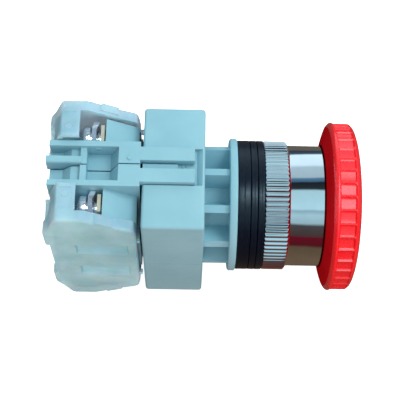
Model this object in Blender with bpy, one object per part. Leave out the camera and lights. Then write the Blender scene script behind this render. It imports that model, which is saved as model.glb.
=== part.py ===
"""Panel-mounted emergency stop button: push to lock, turn to reset, with two contact blocks.

The frame is the panel: the origin is the centre of the flange's front face, +X runs along the
push axis towards the mushroom head, +Z points out of the contact blocks' upper terminal side.
All dimensions are in millimetres and become metres when a mesh is made.
"""

import math

import bmesh
import bpy
from mathutils import Matrix, Vector

MM = 0.001
GAP = 0.3                      # running gap between neighbouring pieces
BEYOND = 2.0                   # how far a cutter runs past the face it cuts

# Flange, neck and the holder behind them
FLANGE_R = 15.7
FLANGE_T = 1.8
NECK_LENGTH = 5.8
NECK_R = 14.05
NECK_CORE_R = 8.7
FIN_COUNT = 10
FIN_T = 1.75
FIN_PHASE = 7.2                # degrees from +Z towards +Y
HOLDER_FRONT = -(FLANGE_T + NECK_LENGTH)
HOLDER_REAR = -21.5
HOLDER_HALF_Y = 14.9
HOLDER_HALF_Z = 19.7
HOLDER_WALL = 1.8
NOTCH_HALF_Y = 4.55            # slot in the holder's top and bottom for the blocks' clip arms
NOTCH_FLOOR = 18.5
NOTCH_FRONT = -9.4             # end of the slot's flat floor
NOTCH_LIP = -8.1               # where its sloping end meets the outside
TONGUE_FRONT = -13.7           # rib in the slot, between the two blocks' arms
TONGUE_HALF_Y = 0.7

# Threaded sleeve and the pieces on it
SLEEVE_R = 10.75
SLEEVE_END = 16.5
THREAD_PITCH = 1.5
THREAD_DEPTH = 0.8
THREAD_START = 6.6
THREAD_TURNS = 4
BORE_R = 7.0
ROD_BORE_R = 4.3
GUIDE_REAR = -4.5
GUIDE_FRONT = -3.0
WASHER_BORE_R = 11.1
WASHER_R = 15.3
GASKET_FRONT = 2.9
SPACER_FRONT = 4.5
THRUST_FRONT = 6.15
STACK_GAP = 0.12
NUT_REAR = 6.3
NUT_FRONT = 11.9
NUT_R = 15.25
NUT_CHAMFER = 0.9
NUT_THREAD_END = 12.5
FLUTES = 80
FLUTE_DEPTH = 0.35
COLLAR_R = 14.3                # plain collar from the grip up to the head
COLLAR_END = 19.8
SHROUD_BORE_R = 12.9

# Mushroom head and stem
HEAD_R = 20.0
HEAD_BACK = 20.0
HEAD_CONE = [(20.75, 17.7), (21.3, 19.3), (21.75, 19.85)]      # shallow cone from the mouth out to the lip
RIM_BACK = 22.0
RIM_FRONT = 26.5
HEAD_APEX = 28.8
HEAD_MOUTH_R = 14.75
HEAD_INSIDE = 26.4
HEAD_INSIDE_CHAMFER = 0.5
RIM_LIP = 0.3                  # how far the scalloped band lies under the lip behind it
SCALLOPS = 40
SCALLOP_DEPTH = 0.5
BOSS_R = 5.5
STUD_R = 3.0
STUD_END = 24.8
PISTON_R = 6.6
PISTON_FRONT = 17.3
PISTON_REAR = 6.3
SEAL_GROOVE = (12.4, 14.2, 5.6)      # rear x, front x, floor radius
SEAL_MEAN_R = 6.3
SEAL_HALF_X = 0.62
SEAL_HALF_R = 0.55
ROD_R = 4.0
ROD_END = -9.9
JOURNAL_R = 3.0
JOURNAL_END = -16.9
RETURN_SPRING = (5.4, 0.4, 4.5)      # mean radius, wire radius, turns
CLIP_GROOVE = (-16.5, -15.8, 2.4)
CLIP_X = (-16.4, -15.9)
CLIP_R = 4.6
CLIP_MOUTH_HALF = 1.6
LATCH_X = (-9.0, -4.8)
LATCH_INNER_R = (5.2, 5.9)
CAM_X = (-7.4, -6.8)                 # cone between the latch ring's two bores
RAMP_HALF = 1.6
PIN_X = -5.8
PIN_R = 0.8
PIN_IN = 1.6
PIN_OUT = 4.9
DETENT_SPRING = (0.55, 0.14, 4)      # mean radius, wire radius, turns
DETENT_SPRING_HALF = 1.35
PLATE_X = (-15.6, -13.6)       # push plate
PLATE_HALF_Y = 11.2
PLATE_HALF_Z = 4.6
HUB_R = 6.0

# Contact blocks, as drawn on the +Y side
BLOCK_REAR = -42.3
BLOCK_FRONT = -22.0
SPINE_Z = 20.9
MOULD_EDGE = 0.3
SEAM = 0.15                    # half the gap between the two blocks
SPINE_WALL_IN = 4.15           # the pockets are open on the seam side, as far as this wall
SPINE_WALL_OUT = 5.5
BODY_OUT = 12.0
CHAMBER = (-40.0, 6.2, 11.0, 9.5)     # rear x, inner y, outer y, half z
CHAMBER_BODY_HALF_Z = 9.8
SHOULDER = [(-30.0, 9.0), (-30.0, 19.3), (BLOCK_FRONT - 0.2, 15.2), (BLOCK_FRONT - 0.2, 9.0)]
POCKET = [(-33.9, 22), (-33.9, 16.8), (-28.8, 16.8), (-26.8, SPINE_Z - 0.2), (-26.8, 22)]
CHANNEL = [(-43, 22), (-43, 17.2), (-39.4, 17.3), (-37.4, 19.2), (-35.3, 19.3), (-35.3, 22)]
RIB_X = (-35.4, -33.8)                # cross rib between channel and pocket
RIB_TOP = 20.2
KEY_LOW = (BLOCK_REAR - 0.6, SEAM, 16.5)
KEY_HIGH = (-35.0, 2.0, 20.6)
ARM_END = -9.9
ARM_IN = 1.0
ARM_OUT = 4.3
ARM_FLOOR = 18.9
TERMINAL_Y = 8.65
TERMINAL_Z = 15.2
STRIP_X = (-31.2, -30.4)
STRIP_Y = (6.5, 10.8)
STRIP_Z = (5.2, 18.9)
STRIP_CORNER = 0.4
HEAD_SCREW_R = 3.0
SHANK_R = 1.7
SCREW_X = (-35.9, -28.2)       # head's top, tip
CROSS_SLOT = (2.0, 0.35)       # half length, half width
CLAMP_X = (-33.3, -31.6)
CLAMP_HALF = 3.0
RIVET_R = 1.2
RIVET_Z = 6.8
RIVET_H = 0.5
BRIDGE_T = 0.8
BRIDGE_HALF_Y = 1.8
BRIDGE_HALF_Z = 8.6
OPEN_BRIDGE_FRONT = -24.0      # the normally open bridge at rest
PLUNGER_SPRING = (1.5, 0.2)    # mean radius, wire radius
PLUNGER_FRONT = -15.9
PLUNGER_HALF = 1.7
BASE_X = (-21.7, -20.5)
BASE_Y = (4.9, 11.6)           # clear of the stem's tail, which comes between the two plates
BASE_HALF_Z = 16.0
COVER_Y = (5.8, 14.9)          # seam side of the hoods, outer face
COVER_IN = 12.3
COVER_OUT = COVER_Y[1]
COVER_SKIN = 1.0
COVER_HALF = [(-43.3, 9.4), (-43.3, 15.0), (-41.8, 17.8), (-39.9, 22.7), (-34.0, 22.7), (-26.8, 18.9),
              (-23.1, 17.3), (-22.6, 13.9)]
HOOD_FRONT = -35.7
HOOD_FLOOR = 10.3
HOOD_GAP_HALF = 9.0            # the two hoods' rear walls stop this far from the middle
DRIVER_HOLE_R = 3.2
COVER_WINDOW_X = (-36.2, -25.0)
COVER_WINDOW_Z = 6.5
COVER_WINDOW_HALF_Z = 2.3
COVER_WINDOW_DEPTH = 0.6

COLLECTION = "emergency_stop_button"
PLASTIC = ("body_plastic", (0.34, 0.60, 0.68, 1), 0.45, 0.0)
COVER_PLASTIC = ("cover_plastic", (0.62, 0.80, 0.86, 0.6), 0.35, 0.0)
RED = ("red_plastic", (0.80, 0.012, 0.02, 1), 0.22, 0.0)
CHROME = ("chrome", (0.86, 0.87, 0.88, 1), 0.08, 1.0)
RUBBER = ("black_rubber", (0.012, 0.014, 0.017, 1), 0.5, 0.0)
BLACK = ("black_plastic", (0.015, 0.015, 0.017, 1), 0.4, 0.0)
STEEL = ("zinc_steel", (0.62, 0.65, 0.70, 1), 0.3, 1.0)
SPRING_STEEL = ("spring_steel", (0.55, 0.55, 0.56, 1), 0.25, 1.0)
BRASS = ("brass", (0.78, 0.70, 0.45, 1), 0.35, 1.0)


# ---------------------------------------------------------------- scene and materials

def clear_scene():
    for obj in list(bpy.data.objects):
        bpy.data.objects.remove(obj, do_unlink=True)


def make_collection(name):
    collection = bpy.data.collections.new(name)
    bpy.context.scene.collection.children.link(collection)
    return collection


def material(spec):
    """The Principled material of a colour, roughness and metallic value."""
    name, colour, roughness, metallic = spec
    found = bpy.data.materials.get(name)
    if found:
        return found
    made = bpy.data.materials.new(name)
    made.use_nodes = True
    shader = made.node_tree.nodes["Principled BSDF"]
    shader.inputs["Base Color"].default_value = (*colour[:3], 1)
    shader.inputs["Alpha"].default_value = colour[3]
    shader.inputs["Roughness"].default_value = roughness
    shader.inputs["Metallic"].default_value = metallic
    return made


# ---------------------------------------------------------------- solids, as bmeshes in mm

def block(low, high, bevel=0.0, only_along=None):
    """A box between two corners, its edges rounded, or only those along one axis."""
    solid = bmesh.new()
    size = Vector(high) - Vector(low)
    middle = (Vector(high) + Vector(low)) / 2
    bmesh.ops.create_cube(solid, size=1, matrix=Matrix.Translation(middle) @ Matrix.Diagonal((*size, 1)))
    if bevel:
        edges = solid.edges[:]
        if only_along is not None:
            edges = [e for e in edges if abs((e.verts[0].co - e.verts[1].co)[only_along]) > 1e-4]
        bmesh.ops.bevel(solid, geom=edges, offset=bevel, segments=2, profile=0.5, affect="EDGES")
    return solid


def turned(profile, segments):
    """A closed (x, radius) profile turned about the X axis."""
    solid = bmesh.new()
    points = [solid.verts.new((x, 0, radius)) for x, radius in profile]
    loop = [solid.edges.new((a, b)) for a, b in zip(points, points[1:] + points[:1])
            if a.co.z > 1e-6 or b.co.z > 1e-6]
    bmesh.ops.spin(solid, geom=points + loop, cent=(0, 0, 0), axis=(1, 0, 0),
                   angle=math.tau, steps=segments, use_merge=True)
    bmesh.ops.remove_doubles(solid, verts=solid.verts, dist=1e-4)
    loose = [v for v in solid.verts if not v.link_faces]
    bmesh.ops.delete(solid, geom=loose, context="VERTS")
    bmesh.ops.recalc_face_normals(solid, faces=solid.faces)
    return solid


def rod(radius, low, high, axis, centre=(0, 0, 0), segments=20):
    """A cylinder along X, Y or Z between two heights."""
    solid = bmesh.new()
    bmesh.ops.create_cone(solid, cap_ends=True, segments=segments, radius1=radius, radius2=radius,
                          depth=high - low)
    turn = {"X": Matrix.Rotation(math.pi / 2, 4, "Y"), "Y": Matrix.Rotation(math.pi / 2, 4, "X"),
            "Z": Matrix.Identity(4)}[axis]
    place = Vector(centre)
    place["XYZ".index(axis)] = (low + high) / 2
    bmesh.ops.transform(solid, matrix=Matrix.Translation(place) @ turn, verts=solid.verts)
    return solid


def outline_solid(outline, low, high, axis):
    """A flat outline extruded along Y (outline in x, z) or along X (outline in y, z)."""
    curve = bpy.data.curves.new("outline", "CURVE")
    curve.dimensions = "2D"
    curve.fill_mode = "BOTH"
    curve.extrude = (high - low) / 2
    spline = curve.splines.new("POLY")
    spline.points.add(len(outline) - 1)
    for point, (u, v) in zip(spline.points, outline):
        point.co = (u, v, 0, 1)
    spline.use_cyclic_u = True
    holder = bpy.data.objects.new("outline", curve)
    bpy.context.scene.collection.objects.link(holder)
    evaluated = holder.evaluated_get(bpy.context.evaluated_depsgraph_get())
    mesh = bpy.data.meshes.new_from_object(evaluated)
    bpy.data.objects.remove(holder)
    bpy.data.curves.remove(curve)
    solid = bmesh.new()
    solid.from_mesh(mesh)
    bpy.data.meshes.remove(mesh)
    bmesh.ops.remove_doubles(solid, verts=solid.verts, dist=1e-4)
    middle = (low + high) / 2
    for vert in solid.verts:
        u, v, w = vert.co
        vert.co = (u, w + middle, v) if axis == "Y" else (w + middle, u, v)
    bmesh.ops.recalc_face_normals(solid, faces=solid.faces)
    return solid


def turn_about_x(solid, degrees):
    bmesh.ops.rotate(solid, verts=solid.verts, cent=(0, 0, 0),
                     matrix=Matrix.Rotation(math.radians(degrees), 3, "X"))
    return solid


def mirror(solid, side_y=1, side_z=1):
    """The solid reflected to the -Y or -Z side, or left where it is."""
    for vert in solid.verts:
        vert.co.y *= side_y
        vert.co.z *= side_z
    bmesh.ops.recalc_face_normals(solid, faces=solid.faces)
    return solid


# ---------------------------------------------------------------- objects

class Builder:
    """Makes the objects, with their cutters kept in a collection of their own."""

    def __init__(self):
        self.parts = make_collection(COLLECTION)
        self.cutters = make_collection("cutters")
        self.panel = bpy.data.objects.new("panel_seat", None)
        self.parts.objects.link(self.panel)

    def mesh_object(self, name, solid, collection):
        bmesh.ops.scale(solid, vec=(MM, MM, MM), verts=solid.verts)
        bmesh.ops.recalc_face_normals(solid, faces=solid.faces)
        mesh = bpy.data.meshes.new(name)
        solid.to_mesh(mesh)
        solid.free()
        obj = bpy.data.objects.new(name, mesh)
        collection.objects.link(obj)
        return obj

    def part(self, name, solid, spec, at=(0, 0, 0)):
        """An object whose origin is a point of its joint's axis, parented to the panel seat."""
        obj = self.mesh_object(name, solid, self.parts)
        obj.parent = self.panel
        obj.location = Vector(at) * MM
        obj.data.shade_smooth()
        obj.data.set_sharp_from_angle(angle=math.radians(35))
        obj.data.materials.append(material(spec))
        return obj

    def boolean(self, target, solid, operation):
        tool = self.mesh_object(target.name + "_tool", solid, self.cutters)
        tool.hide_render = True
        tool.display_type = "WIRE"
        modifier = target.modifiers.new(operation.lower(), "BOOLEAN")
        modifier.operation = operation
        modifier.solver = "EXACT"
        modifier.object = tool

    def cut(self, target, solid):
        self.boolean(target, solid, "DIFFERENCE")

    def add(self, target, solid):
        self.boolean(target, solid, "UNION")


# ---------------------------------------------------------------- operator

def thread_profile():
    """Points of the sleeve's outer side, its thread drawn as parallel grooves."""
    points = []
    for turn in range(THREAD_TURNS):
        x = THREAD_START + turn * THREAD_PITCH
        points += [(x, SLEEVE_R), (x + THREAD_PITCH / 2, SLEEVE_R - THREAD_DEPTH)]
    points.append((THREAD_START + THREAD_TURNS * THREAD_PITCH, SLEEVE_R))
    return points


def operator_body(builder):
    """Holder box, finned neck, flange and threaded sleeve, moulded as one piece."""
    y, z = HOLDER_HALF_Y, HOLDER_HALF_Z
    body = builder.part("operator_body", block((HOLDER_REAR, -y, -z), (HOLDER_FRONT, y, z), 0.7), PLASTIC)
    body_turned = turned(
        [(HOLDER_FRONT - 1, 0), (HOLDER_FRONT - 1, NECK_CORE_R), (-FLANGE_T, NECK_CORE_R),
         (-FLANGE_T, FLANGE_R - 0.4), (-FLANGE_T + 0.4, FLANGE_R), (-0.3, FLANGE_R), (0, FLANGE_R - 0.3),
         (0, SLEEVE_R)] + thread_profile()
        + [(SLEEVE_END - 0.4, SLEEVE_R), (SLEEVE_END, SLEEVE_R - 0.4), (SLEEVE_END, 0)], 48)
    builder.add(body, body_turned)
    for fin in range(FIN_COUNT):
        plate = block((HOLDER_FRONT - 0.6, -FIN_T / 2, NECK_CORE_R - 1), (-FLANGE_T + 0.5, FIN_T / 2, NECK_R))
        builder.add(body, turn_about_x(plate, -FIN_PHASE - fin * 360 / FIN_COUNT))
    inner_y, inner_z = y - HOLDER_WALL, NOTCH_FLOOR - HOLDER_WALL
    builder.cut(body, block((HOLDER_REAR - BEYOND, -inner_y, -inner_z),
                            (HOLDER_FRONT - HOLDER_WALL, inner_y, inner_z)))
    for side in (1, -1):
        notch = outline_solid([(HOLDER_REAR - BEYOND, NOTCH_FLOOR), (NOTCH_FRONT, NOTCH_FLOOR), (NOTCH_LIP, z),
                               (NOTCH_LIP, z + BEYOND), (HOLDER_REAR - BEYOND, z + BEYOND)],
                              -NOTCH_HALF_Y, NOTCH_HALF_Y, "Y")
        builder.cut(body, mirror(notch, side_z=side))
        tongue = block((HOLDER_REAR, -TONGUE_HALF_Y, NOTCH_FLOOR - 0.5), (TONGUE_FRONT, TONGUE_HALF_Y, z - 0.2))
        builder.add(body, mirror(tongue, side_z=side))
    bore = turned(
        [(HOLDER_FRONT - HOLDER_WALL - BEYOND, 0), (HOLDER_FRONT - HOLDER_WALL - BEYOND, BORE_R),
         (GUIDE_REAR, BORE_R), (GUIDE_REAR, ROD_BORE_R), (GUIDE_FRONT, ROD_BORE_R), (GUIDE_FRONT, BORE_R),
         (SLEEVE_END + BEYOND, BORE_R), (SLEEVE_END + BEYOND, 0)], 32)
    builder.cut(body, bore)
    return body


def ring(builder, name, rear, front, inner, outer, spec, segments=48):
    profile = [(rear, inner), (rear, outer), (front, outer), (front, inner)]
    return builder.part(name, turned(profile, segments), spec)


def panel_stack(builder):
    """Thick gasket behind the panel, spacer, and the thin ring under the nut."""
    ring(builder, "panel_gasket", STACK_GAP, GASKET_FRONT, WASHER_BORE_R, WASHER_R, RUBBER)
    ring(builder, "spacer_ring", GASKET_FRONT + STACK_GAP, SPACER_FRONT, WASHER_BORE_R, WASHER_R, RUBBER)
    ring(builder, "thrust_ring", SPACER_FRONT + STACK_GAP, THRUST_FRONT, WASHER_BORE_R, WASHER_R, RUBBER)


def fluted(solid, depth, count, low, high, base_radius):
    """Pushes every other point of a turned rim inwards, which leaves straight flutes."""
    step = math.tau / (2 * count)
    for vert in solid.verts:
        radius = math.hypot(vert.co.y, vert.co.z)
        if low <= vert.co.x <= high and radius > base_radius:
            turn = round(math.atan2(vert.co.y, vert.co.z) / step)
            if turn % 2:
                shrink = (radius - depth) / radius
                vert.co.y *= shrink
                vert.co.z *= shrink
    return solid


def bezel_nut(builder):
    """Chromed ring nut: fluted grip at the panel, smooth shroud up to the head."""
    outside = [(NUT_REAR, 0), (NUT_REAR, NUT_R), (NUT_FRONT - NUT_CHAMFER, NUT_R), (NUT_FRONT, COLLAR_R + 0.1),
               (NUT_FRONT + 0.1, COLLAR_R), (COLLAR_END - 0.3, COLLAR_R), (COLLAR_END, COLLAR_R - 0.3),
               (COLLAR_END, 0)]
    nut = fluted(turned(outside, 2 * FLUTES), FLUTE_DEPTH, FLUTES, NUT_REAR - 0.1, NUT_FRONT - NUT_CHAMFER + 0.1, COLLAR_R + 0.2)
    obj = builder.part("bezel_nut", nut, CHROME)
    bore = [(NUT_REAR - 1, 0), (NUT_REAR - 1, SLEEVE_R + GAP), (NUT_THREAD_END, SLEEVE_R + GAP),
            (NUT_THREAD_END, SHROUD_BORE_R), (COLLAR_END + 1, SHROUD_BORE_R), (COLLAR_END + 1, 0)]
    builder.cut(obj, turned(bore, 40))
    return obj


def mushroom_head(builder):
    """Red head: shallow cone and hollow behind, scalloped rim, shallow dome, threaded boss for the stem."""
    bowl = [(HEAD_BACK, HEAD_MOUTH_R)] + HEAD_CONE
    rim = [(RIM_BACK, HEAD_R), (RIM_BACK + 0.3, HEAD_R - 0.05), (RIM_FRONT - 0.7, HEAD_R - RIM_LIP),
           (RIM_FRONT - 0.4, HEAD_R - RIM_LIP), (RIM_FRONT, HEAD_R - 0.7)]
    dome = [(RIM_FRONT + (HEAD_APEX - RIM_FRONT) * math.cos(math.radians(a)),
             (HEAD_R - 0.7) * math.sin(math.radians(a))) for a in (62, 30, 0)]
    solid = turned([(HEAD_BACK, 0)] + bowl + rim + dome, 2 * SCALLOPS)
    solid = fluted(solid, SCALLOP_DEPTH, SCALLOPS, RIM_BACK + 0.25, RIM_FRONT - 0.35, HEAD_R - 1)
    head = builder.part("mushroom_head", solid, RED)
    mouth = HEAD_MOUTH_R - 0.1
    hollow = [(HEAD_BACK - 1, BOSS_R), (HEAD_BACK - 1, mouth), (HEAD_INSIDE - HEAD_INSIDE_CHAMFER, mouth),
              (HEAD_INSIDE, mouth - HEAD_INSIDE_CHAMFER), (HEAD_INSIDE, BOSS_R)]
    builder.add(head, rod(BOSS_R - 0.2, PISTON_FRONT + GAP, HEAD_BACK + 1, "X", segments=24))
    builder.cut(head, turned(hollow, 36))
    builder.cut(head, rod(STUD_R + GAP, PISTON_FRONT - 1, STUD_END + 0.4, "X", segments=24))
    return head


def stem(builder):
    """Stud for the head, piston in the sleeve, rod through the guide, journal for the push plate."""
    seal_rear, seal_front, seal_floor = SEAL_GROOVE
    clip_rear, clip_front, clip_floor = CLIP_GROOVE
    profile = [(STUD_END, 0), (STUD_END, STUD_R - 0.4), (STUD_END - 0.4, STUD_R), (PISTON_FRONT, STUD_R),
               (PISTON_FRONT, PISTON_R), (seal_front, PISTON_R), (seal_front, seal_floor),
               (seal_rear, seal_floor), (seal_rear, PISTON_R), (PISTON_REAR, PISTON_R), (PISTON_REAR, ROD_R),
               (ROD_END, ROD_R), (ROD_END, JOURNAL_R), (clip_front, JOURNAL_R), (clip_front, clip_floor),
               (clip_rear, clip_floor), (clip_rear, JOURNAL_R), (JOURNAL_END, JOURNAL_R), (JOURNAL_END, 0)]
    shaft = builder.part("stem", turned(profile, 24), BRASS)
    builder.cut(shaft, rod(PIN_R + GAP, -ROD_R - BEYOND, ROD_R + BEYOND, "Y", (PIN_X, 0, 0), 16))
    return shaft


def o_ring(builder):
    """Seal round the piston, in its groove."""
    middle = (SEAL_GROOVE[0] + SEAL_GROOVE[1]) / 2
    section = [(middle + SEAL_HALF_X * math.cos(a), SEAL_MEAN_R + SEAL_HALF_R * math.sin(a))
               for a in [math.tau * k / 6 for k in range(6)]]
    return builder.part("stem_seal", turned(section, 24), RUBBER)


def coil(builder, name, start, end, axis, mean_r, wire_r, turns, steps, centre=(0, 0, 0)):
    """A compression spring as a round-wire helix with capped ends."""
    curve = bpy.data.curves.new(name, "CURVE")
    curve.dimensions = "3D"
    curve.bevel_depth = wire_r
    curve.bevel_resolution = 1
    curve.use_fill_caps = True
    spline = curve.splines.new("POLY")
    count = int(turns * steps)
    spline.points.add(count)
    for k, point in enumerate(spline.points):
        angle = math.tau * k / steps
        along = start + wire_r + (end - start - 2 * wire_r) * k / count
        if axis == "X":
            point.co = (along, centre[1] + mean_r * math.cos(angle), centre[2] + mean_r * math.sin(angle), 1)
        else:
            point.co = (centre[0] + mean_r * math.cos(angle), along, centre[2] + mean_r * math.sin(angle), 1)
    holder = bpy.data.objects.new(name + "_wire", curve)
    bpy.context.scene.collection.objects.link(holder)
    mesh = bpy.data.meshes.new_from_object(holder.evaluated_get(bpy.context.evaluated_depsgraph_get()))
    bpy.data.objects.remove(holder)
    bpy.data.curves.remove(curve)
    solid = bmesh.new()
    solid.from_mesh(mesh)
    bpy.data.meshes.remove(mesh)
    bmesh.ops.remove_doubles(solid, verts=solid.verts, dist=1e-4)
    return builder.part(name, solid, SPRING_STEEL)


def latch(builder):
    """Cam ring in the neck, and the two sprung pins that ride in the stem's cross hole."""
    rear, front = LATCH_X
    narrow, wide = LATCH_INNER_R
    outer = BORE_R - GAP
    profile = [(rear, narrow), (rear, outer), (front, outer), (front, wide), (CAM_X[1], wide), (CAM_X[0], narrow)]
    cam = builder.part("latch_ring", turned(profile, 28), BLACK)
    for side in (1, -1):
        ramp = block((rear - 0.6, narrow - 1.2, -RAMP_HALF), (rear + 0.7, wide + 0.2, RAMP_HALF))
        builder.cut(cam, turn_about_x(mirror(ramp, side_y=side), 45))
    for name, side in (("detent_pin_left", 1), ("detent_pin_right", -1)):
        pin = [(PIN_IN, 0), (PIN_IN, PIN_R), (PIN_OUT - 0.4, PIN_R), (PIN_OUT, PIN_R - 0.45), (PIN_OUT, 0)]
        solid = turned(pin, 12)
        bmesh.ops.rotate(solid, verts=solid.verts, cent=(0, 0, 0), matrix=Matrix.Rotation(math.pi / 2, 3, "Z"))
        builder.part(name, mirror(solid, side_y=side), STEEL, at=(PIN_X, 0, 0))
    coil(builder, "detent_spring", -DETENT_SPRING_HALF, DETENT_SPRING_HALF, "Y", *DETENT_SPRING, 6, (PIN_X, 0, 0))


def push_plate(builder):
    """Cross bar on the stem's tail that drives both plungers, and its retaining clip."""
    bar = builder.part("push_plate", block((PLATE_X[0], -PLATE_HALF_Y, -PLATE_HALF_Z),
                                           (PLATE_X[1], PLATE_HALF_Y, PLATE_HALF_Z), 0.4, 0), BLACK)
    builder.add(bar, rod(HUB_R, PLATE_X[0] + 1, HOLDER_FRONT - HOLDER_WALL - GAP, "X", segments=28))
    builder.cut(bar, rod(JOURNAL_R + GAP, PLATE_X[0] - 1, ROD_END + 1, "X", segments=24))
    builder.cut(bar, rod(ROD_R + GAP, ROD_END - GAP, ROD_END + 1, "X", segments=24))
    inner = CLIP_GROOVE[2] + 0.25
    rear, front = CLIP_X
    clip = turned([(rear, inner), (rear, CLIP_R), (front, CLIP_R), (front, inner)], 28)
    washer = builder.part("retaining_clip", clip, STEEL)
    builder.cut(washer, block((rear - 1, -CLIP_MOUTH_HALF, 0), (front + 1, CLIP_MOUTH_HALF, CLIP_R + 1)))


# ---------------------------------------------------------------- contact blocks

def block_housing(builder, name, side, has_key):
    """Moulded housing: clip arms, spine with its pockets, contact chamber and terminal shoulders.

    One block of the pair has a key bar at the seam, which stands a little behind its rear face.
    """
    spine = block((BLOCK_REAR, SEAM, -SPINE_Z), (BLOCK_FRONT, SPINE_WALL_OUT, SPINE_Z), MOULD_EDGE, 0)
    housing = builder.part(name, mirror(spine, side), PLASTIC)

    def add(solid):
        builder.add(housing, mirror(solid, side))

    def cut(solid):
        builder.cut(housing, mirror(solid, side))

    high = CHAMBER_BODY_HALF_Z
    add(block((BLOCK_REAR + 0.4, SPINE_WALL_OUT - 1, -high), (BLOCK_FRONT - 0.1, BODY_OUT, high)))
    for up in (1, -1):
        # Shoulder beside the terminal, sloping down to the front
        add(mirror(outline_solid(SHOULDER, SPINE_WALL_OUT - 0.8, BODY_OUT - 0.1, "Y"), side_z=up))
        add(mirror(block((BLOCK_FRONT - 1, ARM_IN, ARM_FLOOR), (ARM_END, ARM_OUT, SPINE_Z - 0.05)), side_z=up))
        # Deep pocket, then the channel behind the cross rib
        cut(mirror(outline_solid(POCKET, -1, SPINE_WALL_IN, "Y"), side_z=up))
        cut(mirror(outline_solid(CHANNEL, -1, SPINE_WALL_IN, "Y"), side_z=up))
        cut(mirror(block((RIB_X[0], -1, RIB_TOP), (RIB_X[1], SPINE_WALL_IN, SPINE_Z + BEYOND)), side_z=up))
        if has_key:
            add(mirror(block(KEY_LOW, KEY_HIGH), side_z=up))
        # Slot for the contact strip and relief for the screw's tip
        cut(mirror(block((STRIP_X[0] - GAP, STRIP_Y[0] - 0.4, 8.5), (STRIP_X[1] + GAP, STRIP_Y[1] + 0.4, 11.0)),
                   side_z=up))
        cut(rod(SHANK_R + GAP, -31, -27.2, "X", (0, TERMINAL_Y, up * TERMINAL_Z), 16))
    rear, inner, outer, high = CHAMBER
    cut(block((rear, inner, -high), (BLOCK_FRONT + 1, outer, high)))
    return housing


def base_plate(builder, name, side):
    """Black plate that closes the contact chamber, with the plunger's window."""
    low, high = (BASE_X[0], BASE_Y[0], -BASE_HALF_Z), (BASE_X[1], BASE_Y[1], BASE_HALF_Z)
    plate = builder.part(name, mirror(block(low, high, MOULD_EDGE, 0), side), BLACK)
    half = PLUNGER_HALF + 0.4
    builder.cut(plate, mirror(block((BASE_X[0] - 1, TERMINAL_Y - half, -half),
                                    (BASE_X[1] + 1, TERMINAL_Y + half, half)), side))
    return plate


def plunger(builder, name, side, rear):
    """Square push rod from the push plate to the moving contact."""
    low = (rear, TERMINAL_Y - PLUNGER_HALF, -PLUNGER_HALF)
    high = (PLUNGER_FRONT, TERMINAL_Y + PLUNGER_HALF, PLUNGER_HALF)
    return builder.part(name, mirror(block(low, high, 0.25, 0), side), BLACK)


def moving_contact(builder, name, side, front, rivet_front):
    """Bridge that joins both strips, with a rivet at each end on the strips' side."""
    bridge = block((front - BRIDGE_T, TERMINAL_Y - BRIDGE_HALF_Y, -BRIDGE_HALF_Z),
                   (front, TERMINAL_Y + BRIDGE_HALF_Y, BRIDGE_HALF_Z), STRIP_CORNER, 0)
    contact = builder.part(name, mirror(bridge, side), BRASS)
    for up in (1, -1):
        middle = front - BRIDGE_T / 2
        low, high = (middle, front + RIVET_H) if rivet_front else (front - BRIDGE_T - RIVET_H, middle)
        rivet = rod(RIVET_R, low, high, "X", (0, TERMINAL_Y, up * RIVET_Z), 14)
        builder.add(contact, mirror(rivet, side))
    return contact


def fixed_contact(builder, name, side, up, rivet_front):
    """Strip from the terminal's clamping face down into the chamber, with its rivet."""
    strip = block((STRIP_X[0], STRIP_Y[0], STRIP_Z[0]), (STRIP_X[1], STRIP_Y[1], STRIP_Z[1]), STRIP_CORNER, 0)
    obj = builder.part(name, mirror(strip, side, up), BRASS)
    middle = STRIP_X[0] + 0.3
    low, high = (middle, STRIP_X[1] + RIVET_H) if rivet_front else (STRIP_X[0] - RIVET_H, middle)
    builder.add(obj, mirror(rod(RIVET_R, low, high, "X", (0, TERMINAL_Y, RIVET_Z), 14), side, up))
    builder.cut(obj, mirror(rod(SHANK_R + GAP, STRIP_X[0] - 1, STRIP_X[1] + 1, "X", (0, TERMINAL_Y, TERMINAL_Z), 16), side, up))
    return obj


def terminal_clamp(builder, name, side, up):
    """Square saddle washer, dished so that it grips a wire on each side of the screw."""
    rear, front = CLAMP_X
    half = CLAMP_HALF
    section = [(rear + 0.4, -half), (rear, 1.2 - half), (rear, half - 1.2), (rear + 0.4, half), (front, half),
               (front - 0.3, half - 0.9), (rear + 1, half - 1.6), (rear + 1, 1.6 - half),
               (front - 0.3, 0.9 - half), (front, -half)]
    solid = outline_solid(section, -half - 0.1, half + 0.1, "Y")
    for vert in solid.verts:
        x, height, across = vert.co
        vert.co = (x, across, height)
    axis = (0, side * TERMINAL_Y, up * TERMINAL_Z)
    clamp = builder.part(name, mirror(solid), STEEL, at=axis)
    builder.cut(clamp, rod(SHANK_R + GAP, rear - 1, front + 1, "X", axis, 16))
    return clamp


def terminal_screw(builder, name, side, up):
    """Cross-slotted clamp screw, head to the rear."""
    top, tip = SCREW_X
    under_head = CLAMP_X[0] - 0.4
    profile = [(top, 0), (top, 2.3), (top + 0.6, HEAD_SCREW_R), (under_head, HEAD_SCREW_R),
               (under_head, SHANK_R), (tip - 0.4, SHANK_R), (tip, SHANK_R - 0.4), (tip, 0)]
    y, z = side * TERMINAL_Y, up * TERMINAL_Z
    screw = builder.part(name, turned(profile, 16), STEEL, at=(0, y, z))
    for across, high in (CROSS_SLOT, reversed(CROSS_SLOT)):
        builder.cut(screw, block((top - 1, y - across, z - high), (top + 1, y + across, z + high)))
    return screw


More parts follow.
